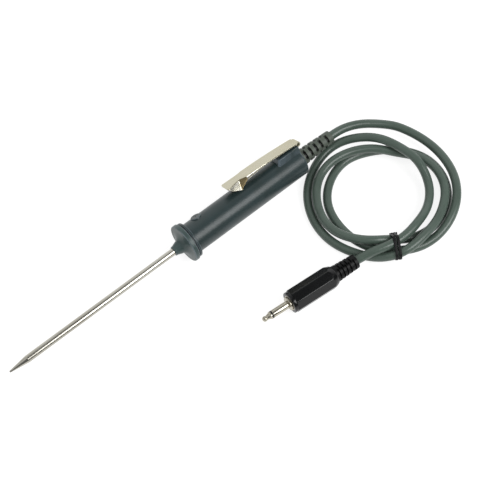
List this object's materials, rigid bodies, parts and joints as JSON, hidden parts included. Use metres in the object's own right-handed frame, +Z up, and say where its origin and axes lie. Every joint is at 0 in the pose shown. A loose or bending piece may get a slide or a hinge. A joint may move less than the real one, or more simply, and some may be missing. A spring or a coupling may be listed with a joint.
{
  "type": "penetration probe with coiled lead and jack plug",
  "caption": "Handheld penetration probe: pointed steel needle, plastic handle with finger flange and pocket clip, and a tied cable coil ending in a jack plug.",
  "frame": {"origin": "table surface under the middle of the probe, measured from the needle's point to the end of the cable boot", "axes": "+X along the probe from the needle's point to the cable, +Y away from the cable coil, +Z up from the table"},
  "size_m": [0.2116, 0.0763, 0.0204],
  "materials": {
    "needle_steel": "satin drawn stainless steel",
    "bead_glass": "glass-coated sensor bead",
    "potting": "cured epoxy",
    "copper": "bare copper",
    "white_sleeve": "extruded PTFE",
    "nose_plastic": "satin moulded plastic",
    "brass": "turned brass",
    "handle_plastic": "satin moulded plastic",
    "clip_nickel": "nickel-plated spring steel, brushed",
    "solder": "solder",
    "black_sleeve": "heat-shrink tube",
    "core_insulation": "core insulation",
    "cable_jacket": "soft satin cable jacket",
    "boot_rubber": "moulded flexible plastic",
    "tie_plastic": "plastic-covered wire tie",
    "plug_plastic": "polished moulded plastic",
    "tail_rubber": "moulded flexible plastic",
    "plug_nickel": "nickel plate",
    "insulator_plastic": "moulded insulator"
  },
  "bodies": {
    "probe": {"needle_tube": "needle_steel", "needle_point": "needle_steel", "sensor_bead": "bead_glass", "thermal_fill": "potting", "sensor_leads": "copper", "lead_sleeve": "white_sleeve", "nose_cap": "nose_plastic", "needle_ferrule": "brass", "barrel": "handle_plastic", "clip_foot": "clip_nickel", "lead_joints": "solder", "joint_sleeves": "black_sleeve", "cable_cores": "core_insulation", "cable_crimp": "copper", "cable_end": "cable_jacket", "cable_boot": "boot_rubber", "cable_lead": "cable_jacket", "cable_coil": "cable_jacket", "cable_tail": "cable_jacket", "twist_tie": "tie_plastic", "plug_hood": "plug_plastic", "plug_tail": "tail_rubber", "plug_collar": "plug_nickel", "plug_sleeve": "plug_nickel", "plug_insulator": "insulator_plastic", "plug_tip": "plug_nickel", "plug_tag": "plug_nickel", "plug_clamp": "plug_nickel", "plug_cores": "core_insulation", "plug_cable_end": "cable_jacket"},
    "clip": {"clip_arm": "clip_nickel"}
  },
  "joints": [
    {"name": "clip_flex", "type": "hinge", "parent": "probe", "child": "clip", "pos_m": [0.0702, 0.00425, 0.01636], "axis": [0, 0.866, -0.5], "range_deg": [0, 5], "stiffness_Nm_per_rad": 0.6}
  ]
}
